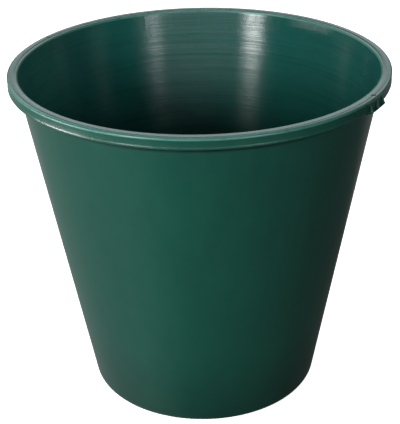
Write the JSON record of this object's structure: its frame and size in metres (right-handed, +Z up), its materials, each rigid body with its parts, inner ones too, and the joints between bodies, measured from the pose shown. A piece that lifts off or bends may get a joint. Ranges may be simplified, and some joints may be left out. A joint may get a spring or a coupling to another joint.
{
  "type": "florist bucket",
  "caption": "Tapered dark green plastic bucket for cut flowers, with a hollow ribbed rim, two slotted handle lugs and a raised floor inside a standing ring.",
  "frame": {"origin": "centre of the foot, on the ground", "axes": "+Z up the bucket's axis to its mouth, +X towards the right-hand handle lug, -Y towards the front"},
  "size_m": [0.3056, 0.3, 0.2755],
  "materials": {
    "wall_plastic": "semi-gloss moulded polypropylene with fine turning marks inside",
    "base_plastic": "semi-gloss moulded polypropylene, scuffed where it stands",
    "rim_plastic": "semi-gloss moulded polypropylene, polished by handling on its edges"
  },
  "bodies": {
    "root": {"side_wall": "wall_plastic", "foot_ring": "base_plastic", "floor_panel": "base_plastic", "floor_ribs": "base_plastic", "gate_boss": "base_plastic", "rim_flange": "rim_plastic", "rim_skirt_front": "rim_plastic", "rim_skirt_back": "rim_plastic", "rim_ribs_front": "rim_plastic", "rim_ribs_back": "rim_plastic", "handle_lug_right": "rim_plastic", "handle_lug_left": "rim_plastic", "lug_ledge_right": "rim_plastic", "lug_ledge_left": "rim_plastic", "lug_fins_right": "rim_plastic", "lug_fins_left": "rim_plastic", "lug_webs_right": "rim_plastic", "lug_webs_left": "rim_plastic"}
  },
  "joints": []
}
